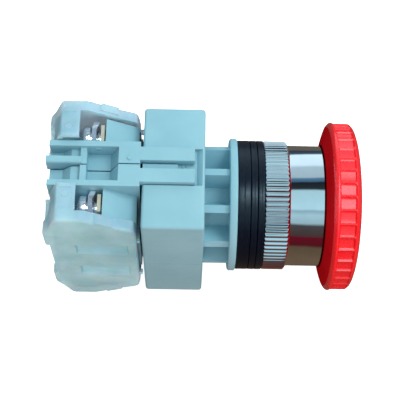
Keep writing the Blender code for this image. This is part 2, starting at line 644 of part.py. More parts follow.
def inset(outline, distance):
    """The outline moved inwards by a distance, corner by corner."""
    moved = []
    count = len(outline)
    for k in range(count):
        before, here, after = (Vector(outline[(k + d) % count]) for d in (-1, 0, 1))
        first = (here - before).normalized()
        second = (after - here).normalized()
        normals = [Vector((n.y, -n.x)) for n in (first, second)]
        middle = (normals[0] + normals[1]).normalized()
        moved.append(tuple(here + middle * distance / max(middle.dot(normals[0]), 0.3)))
    return moved


def terminal_cover(builder, name, side):
    """Translucent finger guard: side plate, rim, and a hood over the terminals at each end."""
    outline = COVER_HALF + [(x, -z) for x, z in reversed(COVER_HALF)]
    rear, top = COVER_HALF[0][0], COVER_HALF[3][1]
    shell = builder.part(name, mirror(outline_solid(outline, *COVER_Y, "Y"), side), COVER_PLASTIC)

    def cut(solid):
        builder.cut(shell, mirror(solid, side))

    inside = COVER_Y[0] - BEYOND
    cut(outline_solid(inset(outline, COVER_SKIN), inside, COVER_OUT - 1.2, "Y"))
    cut(block((HOOD_FRONT, inside, -top - BEYOND), (BLOCK_FRONT + BEYOND, COVER_IN, top + BEYOND)))
    cut(block((rear - BEYOND, inside, -HOOD_FLOOR), (HOOD_FRONT + 0.7, COVER_IN, HOOD_FLOOR)))
    cut(block((rear - BEYOND, inside, -HOOD_GAP_HALF), (rear + 1.1, COVER_OUT + 1, HOOD_GAP_HALF)))
    for up in (1, -1):
        cut(mirror(rod(DRIVER_HOLE_R, rear - BEYOND, rear + BEYOND, "X", (0, TERMINAL_Y, TERMINAL_Z), 20), side_z=up))
        middle = up * COVER_WINDOW_Z
        cut(block((COVER_WINDOW_X[0], COVER_OUT - COVER_WINDOW_DEPTH, middle - COVER_WINDOW_HALF_Z),
                  (COVER_WINDOW_X[1], COVER_OUT + 1, middle + COVER_WINDOW_HALF_Z)))
    return shell


def contact_block(builder, kind, side, normally_closed):
    """One block with everything in it: bridge behind the strips if closed at rest, else in front."""
    block_housing(builder, kind + "_block_housing", side, not normally_closed)
    base_plate(builder, kind + "_block_base", side)
    bridge_front = STRIP_X[0] - 1.1 if normally_closed else OPEN_BRIDGE_FRONT
    plunger(builder, kind + "_plunger", side, bridge_front + 0.15)
    moving_contact(builder, kind + "_bridge", side, bridge_front, normally_closed)
    coil(builder, kind + "_plunger_spring", CHAMBER[0] + 0.2, bridge_front - BRIDGE_T - 0.15, "X",
         *PLUNGER_SPRING, 5 if normally_closed else 8, 7, (0, side * TERMINAL_Y, 0))
    for place, up in (("upper", 1), ("lower", -1)):
        fixed_contact(builder, f"{kind}_{place}_contact", side, up, not normally_closed)
        terminal_clamp(builder, f"{kind}_{place}_clamp", side, up)
        terminal_screw(builder, f"{kind}_{place}_screw", side, up)
    terminal_cover(builder, kind + "_terminal_cover", side)


def main():
    clear_scene()
    builder = Builder()
    operator_body(builder)
    panel_stack(builder)
    bezel_nut(builder)
    mushroom_head(builder)
    stem(builder)
    o_ring(builder)
    coil(builder, "return_spring", GUIDE_FRONT + 0.1, PISTON_REAR - 0.1, "X", *RETURN_SPRING, 10)
    latch(builder)
    push_plate(builder)
    contact_block(builder, "nc", -1, True)
    contact_block(builder, "no", 1, False)


main()
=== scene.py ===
"""Looks of a panel-mounted emergency stop button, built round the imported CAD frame.

Visible CAD pieces are replaced by finer meshes of the same size, and every piece gets a node
material. Lengths are in millimetres and become metres when a mesh is made. +X is the push axis.
"""
import math

import bmesh
import bpy
from mathutils import Matrix, Vector


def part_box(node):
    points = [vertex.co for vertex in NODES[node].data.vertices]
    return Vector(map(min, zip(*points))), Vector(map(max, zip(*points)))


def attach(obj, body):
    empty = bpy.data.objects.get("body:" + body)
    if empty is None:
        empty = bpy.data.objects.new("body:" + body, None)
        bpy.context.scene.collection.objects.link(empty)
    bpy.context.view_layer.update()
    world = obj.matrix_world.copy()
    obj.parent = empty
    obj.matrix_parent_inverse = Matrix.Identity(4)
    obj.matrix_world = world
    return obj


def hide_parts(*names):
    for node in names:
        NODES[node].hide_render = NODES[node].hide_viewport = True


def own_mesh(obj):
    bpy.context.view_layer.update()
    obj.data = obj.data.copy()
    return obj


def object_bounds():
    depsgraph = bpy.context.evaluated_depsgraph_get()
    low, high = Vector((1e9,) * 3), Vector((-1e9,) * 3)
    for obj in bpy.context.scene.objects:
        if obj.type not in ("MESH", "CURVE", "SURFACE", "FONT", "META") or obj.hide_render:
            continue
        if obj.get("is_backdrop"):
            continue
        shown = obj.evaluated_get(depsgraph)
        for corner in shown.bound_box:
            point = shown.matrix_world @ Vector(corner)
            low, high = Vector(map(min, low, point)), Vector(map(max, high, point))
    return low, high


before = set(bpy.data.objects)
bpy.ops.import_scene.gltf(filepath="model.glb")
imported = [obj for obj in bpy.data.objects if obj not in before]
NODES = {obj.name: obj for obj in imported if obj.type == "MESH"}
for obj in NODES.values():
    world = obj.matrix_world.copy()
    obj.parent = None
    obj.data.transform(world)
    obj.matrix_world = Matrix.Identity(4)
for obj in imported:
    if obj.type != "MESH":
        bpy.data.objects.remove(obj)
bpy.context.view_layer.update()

MM = 0.001


def corners(node):
    """Lowest and highest corner of a CAD node, in millimetres."""
    low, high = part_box(node)
    return low / MM, high / MM


# ---------------------------------------------------------------- dimensions

BODY_LOW, BODY_HIGH = corners("operator_body")
NUT_LOW, NUT_HIGH = corners("bezel_nut")
HEAD_LOW, HEAD_HIGH = corners("mushroom_head")
COVER_LOW, COVER_HIGH = corners("no_terminal_cover")

BEYOND = 2.0                        # how far a cutter runs past the face it cuts
TINY = 1e-4                         # points closer than this are one

# Operator: flange, threaded sleeve, finned neck and holder box
FLANGE_R, FLANGE_T = BODY_HIGH.y, 1.8
SLEEVE_R, SLEEVE_END = 10.75, BODY_HIGH.x
THREAD_START, THREAD_PITCH, THREAD_DEPTH, THREAD_CRESTS = 6.6, 1.5, 0.8, 4
BORE_R, ROD_BORE_R = 7.0, 4.3
GUIDE = (-4.5, -3.0)                # the web that guides the stem's rod
NECK_R, NECK_CORE_R = 14.05, 8.7
FIN_COUNT, FIN_T, FIN_PHASE = 10, 1.75, 7.2
HOLDER_REAR, HOLDER_FRONT, HOLDER_WALL = BODY_LOW.x, -7.6, 1.8
HOLDER_HALF_Y, HOLDER_HALF_Z = 14.9, BODY_HIGH.z
NOTCH_HALF_Y, NOTCH_FLOOR = 4.55, 18.5
NOTCH_FRONT, NOTCH_LIP = -9.4, -8.1           # where the notch's floor and its sloping end stop
PARTING_Z, PARTING_HALF, PARTING_DEPTH = -1.5, 0.08, 0.06

# Ring nut
NUT_R, NUT_BORE_R, COLLAR_R, SHROUD_R = NUT_HIGH.y, SLEEVE_R + 0.3, 14.3, 12.9
GRIP_END, GRIP_CHAMFER, NUT_THREAD_END = 11.9, 0.55, 12.5
FLUTES, FLUTE_DEPTH = 80, 0.38

# Mushroom head
HEAD_R, MOUTH_R, BOSS_R, STUD_BORE_R = HEAD_HIGH.y, 14.75, 5.3, 3.3
HEAD_BACK, RIM_BACK, RIM_FRONT, INSIDE, STUD_BORE_END = 20.0, 22.0, 26.5, 26.4, 25.2
HEAD_CONE = [(20.75, 17.7), (21.3, 19.3), (21.75, 19.85)]
CUP_R = 18.7                        # the hollow inside the cone, painted darker red as shade and left without gloss
SCALLOPS, SCALLOP_DEPTH = 40, 0.5

# Stem and its sprung pins
PISTON_R, SEAL_R, ROD_R, TAIL_R, CLIP_R = 6.6, 5.6, 4.0, 3.0, 2.4
PIN_X, PIN_BORE_R, PIN_TRAVEL = -5.8, 1.1, 0.6

# Contact blocks; Y sizes run from the seam outwards
BLOCK_REAR, BLOCK_FRONT = -42.3, -22.0
SEAM, WALL_IN, WALL_OUT, BLOCK_OUT = 0.15, 4.15, 5.5, 12.0
SPINE_Z = corners("no_block_housing")[1].z
BODY_HALF_Z = 9.8                   # of the part between the shoulders
SHOULDER_FRONT = BLOCK_FRONT - 0.6
SHOULDER = [(-30.0, 9.0), (-30.0, 19.3), (SHOULDER_FRONT, 15.4), (SHOULDER_FRONT, 9.0)]
POCKET = [(-33.9, 22), (-33.9, 16.8), (-28.8, 16.8), (-26.8, SPINE_Z - 0.2), (-26.8, 22)]
CHANNEL = [(-43, 22), (-43, 17.2), (-39.4, 17.3), (-37.4, 19.2), (-35.3, 19.3), (-35.3, 22)]
RIB_LOW, RIB_HIGH = (-35.4, -1, 20.2), (-33.8, WALL_IN, 22)           # cleared above the rib
ARM_LOW, ARM_HIGH = (BLOCK_FRONT - 1, 1.0, 18.9), (-9.9, 4.3, SPINE_Z - 0.05)
KEY_LOW, KEY_HIGH = (BLOCK_REAR - 0.6, SEAM, 16.5), (-35.0, 2.0, 20.6)
STRIP_SLOT_LOW, STRIP_SLOT_HIGH = (-31.5, 6.1, 8.5), (-30.1, 11.2, 11.0)
CHAMBER_LOW, CHAMBER_HIGH = (-40.0, 6.2, -9.5), (BLOCK_FRONT + 1, 11.0, 9.5)

# Terminals
TERMINAL_Y, TERMINAL_Z = 8.65, 15.2
SCREW_HEAD_R, SCREW_R, SCREW_PITCH, UNDER_HEAD = 3.0, 1.7, 0.6, -33.7
SLOT_REACH, SLOT_HALF, SLOT_DEPTH = 2.1, 0.35, 1.1
WASHER_REAR, WASHER_FRONT, WASHER_HALF_Y, WASHER_HALF_Z, WASHER_BORE_R = -33.3, -31.6, 3.0, 3.1, 2.0

# Terminal covers
COVER_REAR, COVER_OUT, COVER_TOP, COVER_RIM = COVER_LOW.x, COVER_HIGH.y, COVER_HIGH.z, 12.3
COVER_HALF = [(COVER_REAR, 9.4), (COVER_REAR, 15.0), (-41.8, 17.8), (-39.9, COVER_TOP),
              (-34.0, COVER_TOP), (-26.8, 18.9), (-23.1, 17.3), (-22.6, 13.9)]
COVER_IN, COVER_SIDE, COVER_EDGE = 5.8, 1.2, 1.0            # inner end, and two wall thicknesses
HOOD_FRONT, HOOD_Z = -35.7, 10.3
WINDOW_X, WINDOW_Z, WINDOW_HALF_Z, WINDOW_DEPTH = (-36.2, -25.0), 6.5, 2.2, 0.85
PANEL_LOW, PANEL_HIGH = (-40.6, 6.7, COVER_TOP - 0.18), (-36.6, 11.9, COVER_TOP + 1)
HOOK_LOW, HOOK_HIGH = (-23.7, 13.2, 9.3), (-21.9, 14.3, 10.4)
LEDGE = [(-31.2, 20.6), (-31.2, 21.6), (-27.4, 19.55), (-27.4, 18.6)]
SCREW_HOLE_R = 3.2


# ---------------------------------------------------------------- solids, as bmeshes in mm

def block(low, high, bevel=0.0, only_along=None, segments=3):
    """A box between two corners, its edges rounded, or only those along one axis."""
    solid = bmesh.new()
    size = Vector(high) - Vector(low)
    middle = (Vector(high) + Vector(low)) / 2
    place = Matrix.Translation(middle) @ Matrix.Diagonal((*size, 1))
    bmesh.ops.create_cube(solid, size=1, matrix=place)
    if bevel:
        edges = solid.edges[:]
        if only_along is not None:
            edges = [e for e in edges
                     if abs((e.verts[0].co - e.verts[1].co)[only_along]) > TINY]
        bmesh.ops.bevel(solid, geom=edges, offset=bevel, segments=segments, profile=0.5,
                        affect="EDGES")
    return solid


def rounded(outline, radius, steps=3, closed=True):
    """The outline with each corner replaced by a small arc."""
    points = []
    count = len(outline)
    for k, corner in enumerate(outline):
        here = Vector(corner)
        if not closed and k in (0, count - 1):
            points.append(tuple(here))
            continue
        before = Vector(outline[k - 1]) - here
        after = Vector(outline[(k + 1) % count]) - here
        reach = min(radius, 0.45 * before.length, 0.45 * after.length)
        start, end = here + before.normalized() * reach, here + after.normalized() * reach
        for step in range(steps + 1):
            t = step / steps
            points.append(tuple(start * (1 - t) ** 2 + here * 2 * t * (1 - t) + end * t * t))
    return points


def turned(profile, segments):
    """A closed (x, radius) profile turned about the X axis."""
    solid = bmesh.new()
    points = [solid.verts.new((x, 0, radius)) for x, radius in profile]
    loop = [solid.edges.new((a, b)) for a, b in zip(points, points[1:] + points[:1])
            if a.co.z > 1e-6 or b.co.z > 1e-6]
    bmesh.ops.spin(solid, geom=points + loop, cent=(0, 0, 0), axis=(1, 0, 0),
                   angle=math.tau, steps=segments, use_merge=True)
    bmesh.ops.remove_doubles(solid, verts=solid.verts, dist=TINY)
    loose = [v for v in solid.verts if not v.link_faces]
    bmesh.ops.delete(solid, geom=loose, context="VERTS")
    bmesh.ops.recalc_face_normals(solid, faces=solid.faces)
    return solid


def reshaped(solid, radius_at):
    """Moves each point in or out from the X axis, to radius_at(x, radius, angle)."""
    for vert in solid.verts:
        x, y, z = vert.co
        radius = math.hypot(y, z)
        if radius > 1e-6:
            scale = radius_at(x, radius, math.atan2(y, z)) / radius
            vert.co = (x, y * scale, z * scale)
    return solid


def rod(radius, low, high, axis, centre, segments=32):
    """A cylinder along X or Y between two heights."""
    solid = bmesh.new()
    bmesh.ops.create_cone(solid, cap_ends=True, segments=segments, radius1=radius,
                          radius2=radius, depth=high - low)
    turn = Matrix.Rotation(math.pi / 2, 4, "Y" if axis == "X" else "X")
    place = Vector(centre)
    place["XYZ".index(axis)] = (low + high) / 2
    bmesh.ops.transform(solid, matrix=Matrix.Translation(place) @ turn, verts=solid.verts)
    return solid


def slab(outline, low, high, axis="Y", edge=0.0):
    """An outline in x and one more axis, extruded along Y or Z; its high end may be rounded."""
    solid = bmesh.new()

    def ring_at(height):
        return [solid.verts.new((u, height, v) if axis == "Y" else (u, v, height))
                for u, v in outline]

    bottom, top = ring_at(low), ring_at(high)
    solid.faces.new(bottom)
    solid.faces.new(top)
    for k in range(len(outline)):
        j = (k + 1) % len(outline)
        solid.faces.new((bottom[k], bottom[j], top[j], top[k]))
    bmesh.ops.recalc_face_normals(solid, faces=solid.faces)
    if edge:
        along = "XYZ".index(axis)
        rim = [e for e in solid.edges if all(abs(v.co[along] - high) < TINY for v in e.verts)]
        bmesh.ops.bevel(solid, geom=rim, offset=edge, segments=4, profile=0.5, affect="EDGES")
    return solid


def spun(solid, degrees, axis):
    """The solid turned about a main axis."""
    turn = Matrix.Rotation(math.radians(degrees), 3, axis)
    bmesh.ops.rotate(solid, verts=solid.verts, cent=(0, 0, 0), matrix=turn)
    return solid


def moved(solid, offset):
    """The solid shifted by a distance along each axis."""
    bmesh.ops.translate(solid, verts=solid.verts, vec=offset)
    return solid


def mirror(solid, side_y=1, side_z=1):
    """The solid reflected to the -Y or -Z side, or left where it is."""
    for vert in solid.verts:
        vert.co.y *= side_y
        vert.co.z *= side_z
    if side_y * side_z < 0:
        bmesh.ops.reverse_faces(solid, faces=solid.faces)
    solid.normal_update()
    return solid


def helix(start, end, mean_r, wire_r, turns, axis="X", centre=(0, 0, 0), steps=28, sides=12):
    """A compression spring along X or Y: its end turns are closed, the rest rises evenly."""
    closed = 0.8                    # turns at each end that lie wire on wire
    solid = bmesh.new()
    rings = []
    for k in range(int(turns * steps) + 1):
        turn = k / steps
        active = min(max(turn - closed, 0), turns - 2 * closed) / (turns - 2 * closed)
        along = start + wire_r + wire_r * min(turn, closed) / closed
        along += (end - start - 4 * wire_r) * active
        along += wire_r * max(0, turn - turns + closed) / closed
        angle = math.tau * turn
        radial = Vector((0, math.cos(angle), math.sin(angle)))
        place = Vector((along, 0, 0)) + radial * mean_r
        ring = []
        for s in range(sides):
            a = math.tau * s / sides
            across = radial * wire_r * math.cos(a) + Vector((wire_r * math.sin(a), 0, 0))
            ring.append(solid.verts.new(place + across))
        rings.append(ring)
    for a, b in zip(rings, rings[1:]):
        for s in range(sides):
            solid.faces.new((a[s], a[(s + 1) % sides], b[(s + 1) % sides], b[s]))
    solid.faces.new(rings[0])
    solid.faces.new(rings[-1])
    if axis == "Y":
        spun(solid, 90, "Z")
    moved(solid, centre)
    bmesh.ops.recalc_face_normals(solid, faces=solid.faces)
    return solid


def standing_disc(profile, centre, axis):
    """A small turned shape, its (height, radius) profile standing up along Y or Z."""
    solid = turned(profile, 32)
    return moved(spun(solid, 90, "Z") if axis == "Y" else spun(solid, -90, "Y"), centre)


def ejector_mark(centre, axis, radius, height):
    """The low ring an ejector pin leaves, standing this far off a face across Y or Z."""
    root = -0.3 if height > 0 else 0.3
    low, high = min(root, height), max(root, height)
    return standing_disc([(low, radius - 0.2), (low, radius), (high, radius), (high, radius - 0.2)],
                         centre, axis)


def lozenge(x, y, top):
    """A small raised lozenge on a face across Z."""
    solid = spun(block((-0.5, -0.5, 0), (0.5, 0.5, 0.6), 0.22, segments=2), 45, "Z")
    return moved(solid, (x, y, top - 0.3))


def inset(outline, distance):
    """The outline moved inwards by a distance, corner by corner."""
    moved_in = []
    count = len(outline)
    for k in range(count):
        before, here, after = (Vector(outline[(k + d) % count]) for d in (-1, 0, 1))
        first = (here - before).normalized()
        second = (after - here).normalized()
        normals = [Vector((n.y, -n.x)) for n in (first, second)]
        middle = (normals[0] + normals[1]).normalized()
        reach = distance / max(middle.dot(normals[0]), 0.3)
        moved_in.append(tuple(here + middle * reach))
    return moved_in


# ---------------------------------------------------------------- pieces

def object_of(name, solid):
    """An object in metres from a solid in millimetres, which is used up."""
    bmesh.ops.scale(solid, vec=(MM, MM, MM), verts=solid.verts)
    mesh = bpy.data.meshes.new(name)
    solid.to_mesh(mesh)
    solid.free()
    obj = bpy.data.objects.new(name, mesh)
    bpy.context.scene.collection.objects.link(obj)
    return obj


def carved(name, base, steps, bevel=0.0):
    """Joins ("UNION", solid) and cuts ("DIFFERENCE", solid) in turn, then rounds sharp edges."""
    obj = object_of(name, base)
    tools = []
    for operation, solid in steps:
        tool = object_of(name + "_tool", solid)
        modifier = obj.modifiers.new(operation, "BOOLEAN")
        modifier.operation, modifier.solver, modifier.object = operation, "EXACT", tool
        tools.append(tool)
    evaluated = obj.evaluated_get(bpy.context.evaluated_depsgraph_get())
    mesh = bpy.data.meshes.new_from_object(evaluated)
    obj.modifiers.clear()
    obj.data = mesh
    for tool in tools:
        bpy.data.objects.remove(tool)
    solid = bmesh.new()
    solid.from_mesh(mesh)
    bmesh.ops.remove_doubles(solid, verts=solid.verts, dist=2e-6)
    bmesh.ops.dissolve_limit(solid, angle_limit=math.radians(1), verts=solid.verts,
                             edges=solid.edges)
    solid.to_mesh(mesh)
    solid.free()
    if bevel:
        rounding = obj.modifiers.new("edges", "BEVEL")
        rounding.width = bevel * MM
        rounding.segments = 2
        rounding.limit_method = "ANGLE"
        rounding.angle_limit = math.radians(32)
    return obj


def finished(obj, body, paint, node, smooth=38):
    """Shades the piece, gives it its material and body, and lets it stand for its CAD node."""
    obj.data.shade_smooth()
    obj.data.set_sharp_from_angle(angle=math.radians(smooth))
    if not obj.data.materials:
        obj.data.materials.append(paint)
    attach(obj, body)
    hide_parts(node)
    return obj


# ---------------------------------------------------------------- materials

def map_range(tree, value, source, target):
    """A value carried from one (low, high) range to another, held at its ends."""
    node = tree.nodes.new("ShaderNodeMapRange")
    for name, (low, high) in (("From", source), ("To", target)):
        node.inputs[name + " Min"].default_value = low
        node.inputs[name + " Max"].default_value = high
    tree.links.new(value, node.inputs["Value"])
    return node.outputs["Result"]


def colour_ramp(tree, value, stops):
    """A colour from a value by way of rising colour stops (position, colour)."""
    node = tree.nodes.new("ShaderNodeValToRGB")
    elements = node.color_ramp.elements
    while len(elements) < len(stops):
        elements.new(1.0)
    for element, (position, shade) in zip(elements, stops):
        element.position = position
        element.color = (*shade, 1)
    tree.links.new(value, node.inputs["Fac"])
    return node.outputs["Color"]


class Paint:
    """A Principled material whose colour, roughness and relief come from noise in object space."""

    def __init__(self, name, **sockets):
        self.material = bpy.data.materials.new(name)
        self.material.use_nodes = True
        self.tree = self.material.node_tree
        self.shader = self.tree.nodes["Principled BSDF"]
        for socket, value in sockets.items():
            self.shader.inputs[socket.replace("_", " ")].default_value = value
        self.place = self.tree.nodes.new("ShaderNodeTexCoord").outputs["Object"]
        self.normal = None

    def node(self, kind, **values):
        made = self.tree.nodes.new(kind)
        for key, value in values.items():
            made.inputs[key].default_value = value
        return made

    def link(self, output, node, socket):
        self.tree.links.new(output, node.inputs[socket])

    def noise(self, per_mm, detail, stretch=(1, 1, 1)):
        """Noise with about this many features a millimetre, closer along an axis if wanted."""
        mapping = self.node("ShaderNodeMapping", Scale=[per_mm / MM * s for s in stretch])
        self.link(self.place, mapping, "Vector")
        noise = self.node("ShaderNodeTexNoise", Scale=1.0, Detail=detail)
        self.link(mapping.outputs["Vector"], noise, "Vector")
        return noise.outputs["Fac"]

    def ranged(self, noise, low, high):
        """Noise, whose values lie about 0.5, spread over a range."""
        return map_range(self.tree, noise, (0.3, 0.7), (low, high))

    def colour(self, noise, *stops):
        """Base colour by way of colour stops (position, colour)."""
        self.link(colour_ramp(self.tree, noise, stops), self.shader, "Base Color")

    def roughness(self, noise, low, high):
        self.link(self.ranged(noise, low, high), self.shader, "Roughness")

    def relief(self, height, depth_mm):
        """Adds a bump of this depth on top of any earlier one."""
        bump = self.node("ShaderNodeBump", Strength=1.0, Distance=depth_mm * MM)
        self.link(height, bump, "Height")
        if self.normal:
            self.link(self.normal, bump, "Normal")
        self.normal = bump.outputs["Normal"]
        self.link(self.normal, self.shader, "Normal")


def body_plastic(name="body_plastic", grain_depth=0.006, grain=9.0, shade=1.0):
    """Pale blue-grey satin moulding with slight flow clouds and a fine eroded grain; a shade below
    1 paints the colour darker as painted shade.
    """
    paint = Paint(name, Specular_IOR_Level=0.4, Subsurface_Weight=0.04, Subsurface_Scale=0.0006)
    dark, light = (0.245, 0.515, 0.610), (0.285, 0.570, 0.665)
    paint.colour(paint.noise(0.10, 4), (0.30, [c * shade for c in dark]),
                 (0.70, [c * shade for c in light]))
    paint.roughness(paint.noise(0.5, 4), 0.36, 0.50)
    paint.relief(paint.noise(grain, 2), grain_depth)
    paint.relief(paint.noise(0.16, 1), 0.03)
    return paint.material


def cover_plastic():
    """Milky see-through moulding, cloudy, with soft sink marks."""
    paint = Paint("cover_plastic", Specular_IOR_Level=0.5, Subsurface_Weight=0.5,
                  Subsurface_Scale=0.003, Coat_Weight=0.3, Coat_Roughness=0.2)
    cloud = paint.noise(0.12, 4)
    paint.colour(cloud, (0.32, (0.31, 0.58, 0.72)), (0.68, (0.39, 0.66, 0.80)))
    paint.link(paint.ranged(cloud, 0.66, 0.82), paint.shader, "Alpha")
    paint.roughness(paint.noise(0.35, 4), 0.30, 0.48)
    paint.relief(paint.noise(5.0, 3), 0.006)
    paint.relief(paint.noise(0.22, 2), 0.05)
    return paint.material


def red_plastic(name="red_plastic", gloss=1.0, shade=1.0):
    """Red moulding with faint flow clouds and soft sink marks; gloss scales its specular and coat,
    and a shade below 1 paints the colour darker as painted shade.
    """
    paint = Paint(name, Specular_IOR_Level=0.7 * gloss, Coat_Weight=0.6 * gloss,
                  Coat_Roughness=0.12, Subsurface_Weight=0.05, Subsurface_Scale=0.001)
    dark, light = (0.76, 0.005, 0.010), (0.88, 0.014, 0.022)
    paint.colour(paint.noise(0.09, 4), (0.30, [c * shade for c in dark]),
                 (0.70, [c * shade for c in light]))
    paint.roughness(paint.noise(0.8, 5), 0.20, 0.34)
    paint.relief(paint.noise(6.0, 2), 0.003)
    paint.relief(paint.noise(0.25, 1), 0.03)
    return paint.material


def chrome():
    """Bright plate over a softly rippled casting, with a faint haze of finger marks."""
    paint = Paint("chrome", Metallic=1.0)
    paint.colour(paint.noise(0.3, 3), (0.30, (0.90, 0.92, 0.93)), (0.70, (0.97, 0.98, 0.98)))
    paint.roughness(paint.noise(0.45, 5), 0.005, 0.035)
    paint.relief(paint.noise(0.20, 1, (0.9, 1, 1)), 0.045)
    paint.relief(paint.noise(2.5, 2), 0.0008)
    return paint.material


def black_rubber():
    """Black rubber with fine uneven lines running round the ring."""
    paint = Paint("black_rubber", Specular_IOR_Level=0.36, IOR=1.5)
    paint.colour(paint.noise(1.6, 5, (6, 0.5, 0.5)), (0.45, (0.0004, 0.003, 0.009)),
                 (0.72, (0.003, 0.009, 0.018)))
    paint.roughness(paint.noise(0.7, 5), 0.28, 0.40)
    paint.relief(paint.noise(2.2, 4, (5, 0.4, 0.4)), 0.012)
    paint.relief(paint.noise(0.5, 2), 0.02)
    return paint.material


def black_plastic():
    """Black satin moulding of the hidden pieces."""
    paint = Paint("black_plastic", Specular_IOR_Level=0.5)
    paint.colour(paint.noise(0.3, 4), (0.3, (0.010, 0.011, 0.013)), (0.7, (0.022, 0.023, 0.026)))
    paint.roughness(paint.noise(0.8, 4), 0.35, 0.52)
    paint.relief(paint.noise(7.0, 2), 0.006)
    return paint.material


def zinc_steel():
    """Bright zinc-plated steel with fine drawing lines and a bluish cast."""
    paint = Paint("zinc_steel", Metallic=0.88)
    paint.colour(paint.noise(0.5, 4), (0.3, (0.80, 0.87, 0.94)), (0.7, (0.94, 0.97, 1.0)))
    paint.roughness(paint.noise(1.2, 4), 0.08, 0.2)
    paint.relief(paint.noise(3.0, 3, (0.3, 2, 2)), 0.004)
    return paint.material


def spring_steel():
    """Drawn wire, slightly uneven."""
    paint = Paint("spring_steel", Metallic=1.0)
    paint.colour(paint.noise(0.6, 3), (0.3, (0.46, 0.46, 0.47)), (0.7, (0.62, 0.62, 0.63)))
    paint.roughness(paint.noise(1.5, 3), 0.2, 0.36)
    paint.relief(paint.noise(6.0, 2), 0.003)
    return paint.material


def brass():
    """Pale stamped brass, slightly dulled."""
    paint = Paint("brass", Metallic=0.4)
    paint.colour(paint.noise(0.5, 4), (0.3, (0.70, 0.70, 0.52)), (0.7, (0.82, 0.82, 0.66)))
    paint.roughness(paint.noise(1.0, 4), 0.30, 0.46)
    paint.relief(paint.noise(3.5, 3, (1, 3, 0.4)), 0.004)
    return paint.material


PLASTIC, COVER, RED, CHROME = body_plastic(), cover_plastic(), red_plastic(), chrome()
RUBBER, BLACK, ZINC, WIRE = black_rubber(), black_plastic(), zinc_steel(), spring_steel()
BRASS = brass()
# Red for the cup inside the head: colour at 0.6 is painted shade, and it has no gloss
RED_PLASTIC_PAINTED_SHADE = red_plastic("red_plastic_painted_shade", 0.0, 0.6)
# Neck core between the fins: coarser real grain, and colour at 0.95 as painted shade
GRAINED_PLASTIC_PAINTED_SHADE = body_plastic("body_plastic_grained_painted_shade", 0.09, 3.2, 0.95)


# ---------------------------------------------------------------- operator

def operator():
    """Holder box, finned neck, flange and threaded sleeve."""
    y, z = HOLDER_HALF_Y, HOLDER_HALF_Z
    base = block((HOLDER_REAR, -y, -z), (HOLDER_FRONT, y, z), 0.7, segments=4)
    flange = [(-FLANGE_T, FLANGE_R - 0.45), (-FLANGE_T + 0.12, FLANGE_R - 0.15),
              (-FLANGE_T + 0.4, FLANGE_R), (-0.35, FLANGE_R), (-0.1, FLANGE_R - 0.1),
              (0, FLANGE_R - 0.35)]
    thread = []
    for turn in range(THREAD_CRESTS):
        crest = THREAD_START + THREAD_PITCH * turn
        thread += [(crest, SLEEVE_R), (crest + THREAD_PITCH / 2, SLEEVE_R - THREAD_DEPTH)]
    neck = [(HOLDER_FRONT - 1, 0), (HOLDER_FRONT - 1, NECK_CORE_R), (-FLANGE_T, NECK_CORE_R)]
    end = [(12.6, SLEEVE_R), (SLEEVE_END - 0.4, SLEEVE_R), (SLEEVE_END, SLEEVE_R - 0.4),
           (SLEEVE_END, 0)]
    steps = [("UNION", turned(neck + flange + [(0, SLEEVE_R)] + thread + end, 120))]
    for fin in range(FIN_COUNT):
        plate = block((HOLDER_FRONT - 0.6, -FIN_T / 2, NECK_CORE_R - 1),
                      (-FLANGE_T + 0.5, FIN_T / 2, NECK_R))
        steps.append(("UNION", spun(plate, -FIN_PHASE - fin * 360 / FIN_COUNT, "X")))
    inner_y, inner_z = y - HOLDER_WALL, NOTCH_FLOOR - HOLDER_WALL
    steps.append(("DIFFERENCE", block((HOLDER_REAR - BEYOND, -inner_y, -inner_z),
                                      (HOLDER_FRONT - HOLDER_WALL, inner_y, inner_z))))
    notch = [(HOLDER_REAR - BEYOND, NOTCH_FLOOR), (NOTCH_FRONT, NOTCH_FLOOR), (NOTCH_LIP, z),
             (NOTCH_LIP, z + BEYOND), (HOLDER_REAR - BEYOND, z + BEYOND)]
    for side in (1, -1):
        cutter = slab(notch, -NOTCH_HALF_Y, NOTCH_HALF_Y)
        steps.append(("DIFFERENCE", mirror(cutter, side_z=side)))
        tongue = block((HOLDER_REAR, -0.7, NOTCH_FLOOR - 0.5), (-13.7, 0.7, z - 0.2))
        steps.append(("UNION", mirror(tongue, side_z=side)))
        mark = ejector_mark((-12.2, 0.55, NOTCH_FLOOR), "Z", 0.55, 0.25)
        steps.append(("UNION", mirror(mark, side_z=side)))
        parting = block((HOLDER_REAR - 1, side * y - PARTING_DEPTH, PARTING_Z - PARTING_HALF),
                        (HOLDER_FRONT + 1, side * y + PARTING_DEPTH, PARTING_Z + PARTING_HALF))
        steps.append(("DIFFERENCE", parting))
    rear, front = HOLDER_FRONT - HOLDER_WALL - BEYOND, SLEEVE_END + BEYOND
    bore = [(rear, 0), (rear, BORE_R), (GUIDE[0], BORE_R), (GUIDE[0], ROD_BORE_R),
            (GUIDE[1], ROD_BORE_R), (GUIDE[1], BORE_R), (front, BORE_R), (front, 0)]
    steps.append(("DIFFERENCE", turned(bore, 64)))
    body = carved("operator_moulding", base, steps, 0.16)
    body.data.materials.append(PLASTIC)
    body.data.materials.append(GRAINED_PLASTIC_PAINTED_SHADE)
    for face in body.data.polygons:                 # the core between the fins is grained and painted slightly darker as shade
        x, across, up = (c / MM for c in face.center)
        if HOLDER_FRONT < x < -FLANGE_T and math.hypot(across, up) < NECK_CORE_R + 0.1:
            face.material_index = 1
    return finished(body, "operator", PLASTIC, "operator_body")


def rubber_ring(node, body, groove):
    """A turned rubber ring with rounded edges and a faint moulding groove."""
    low, high = corners(node)
    inner, outer, half_groove = 11.1, high.y, 0.12
    middle = (low.x + high.x) / 2
    profile = [(low.x, inner), (low.x, outer), (middle - half_groove, outer),
               (middle, outer - groove), (middle + half_groove, outer), (high.x, outer),
               (high.x, inner)]
    ring = object_of(node + "_rubber", turned(rounded(profile, 0.14, 3), 160))
    return finished(ring, body, RUBBER, node, smooth=60)


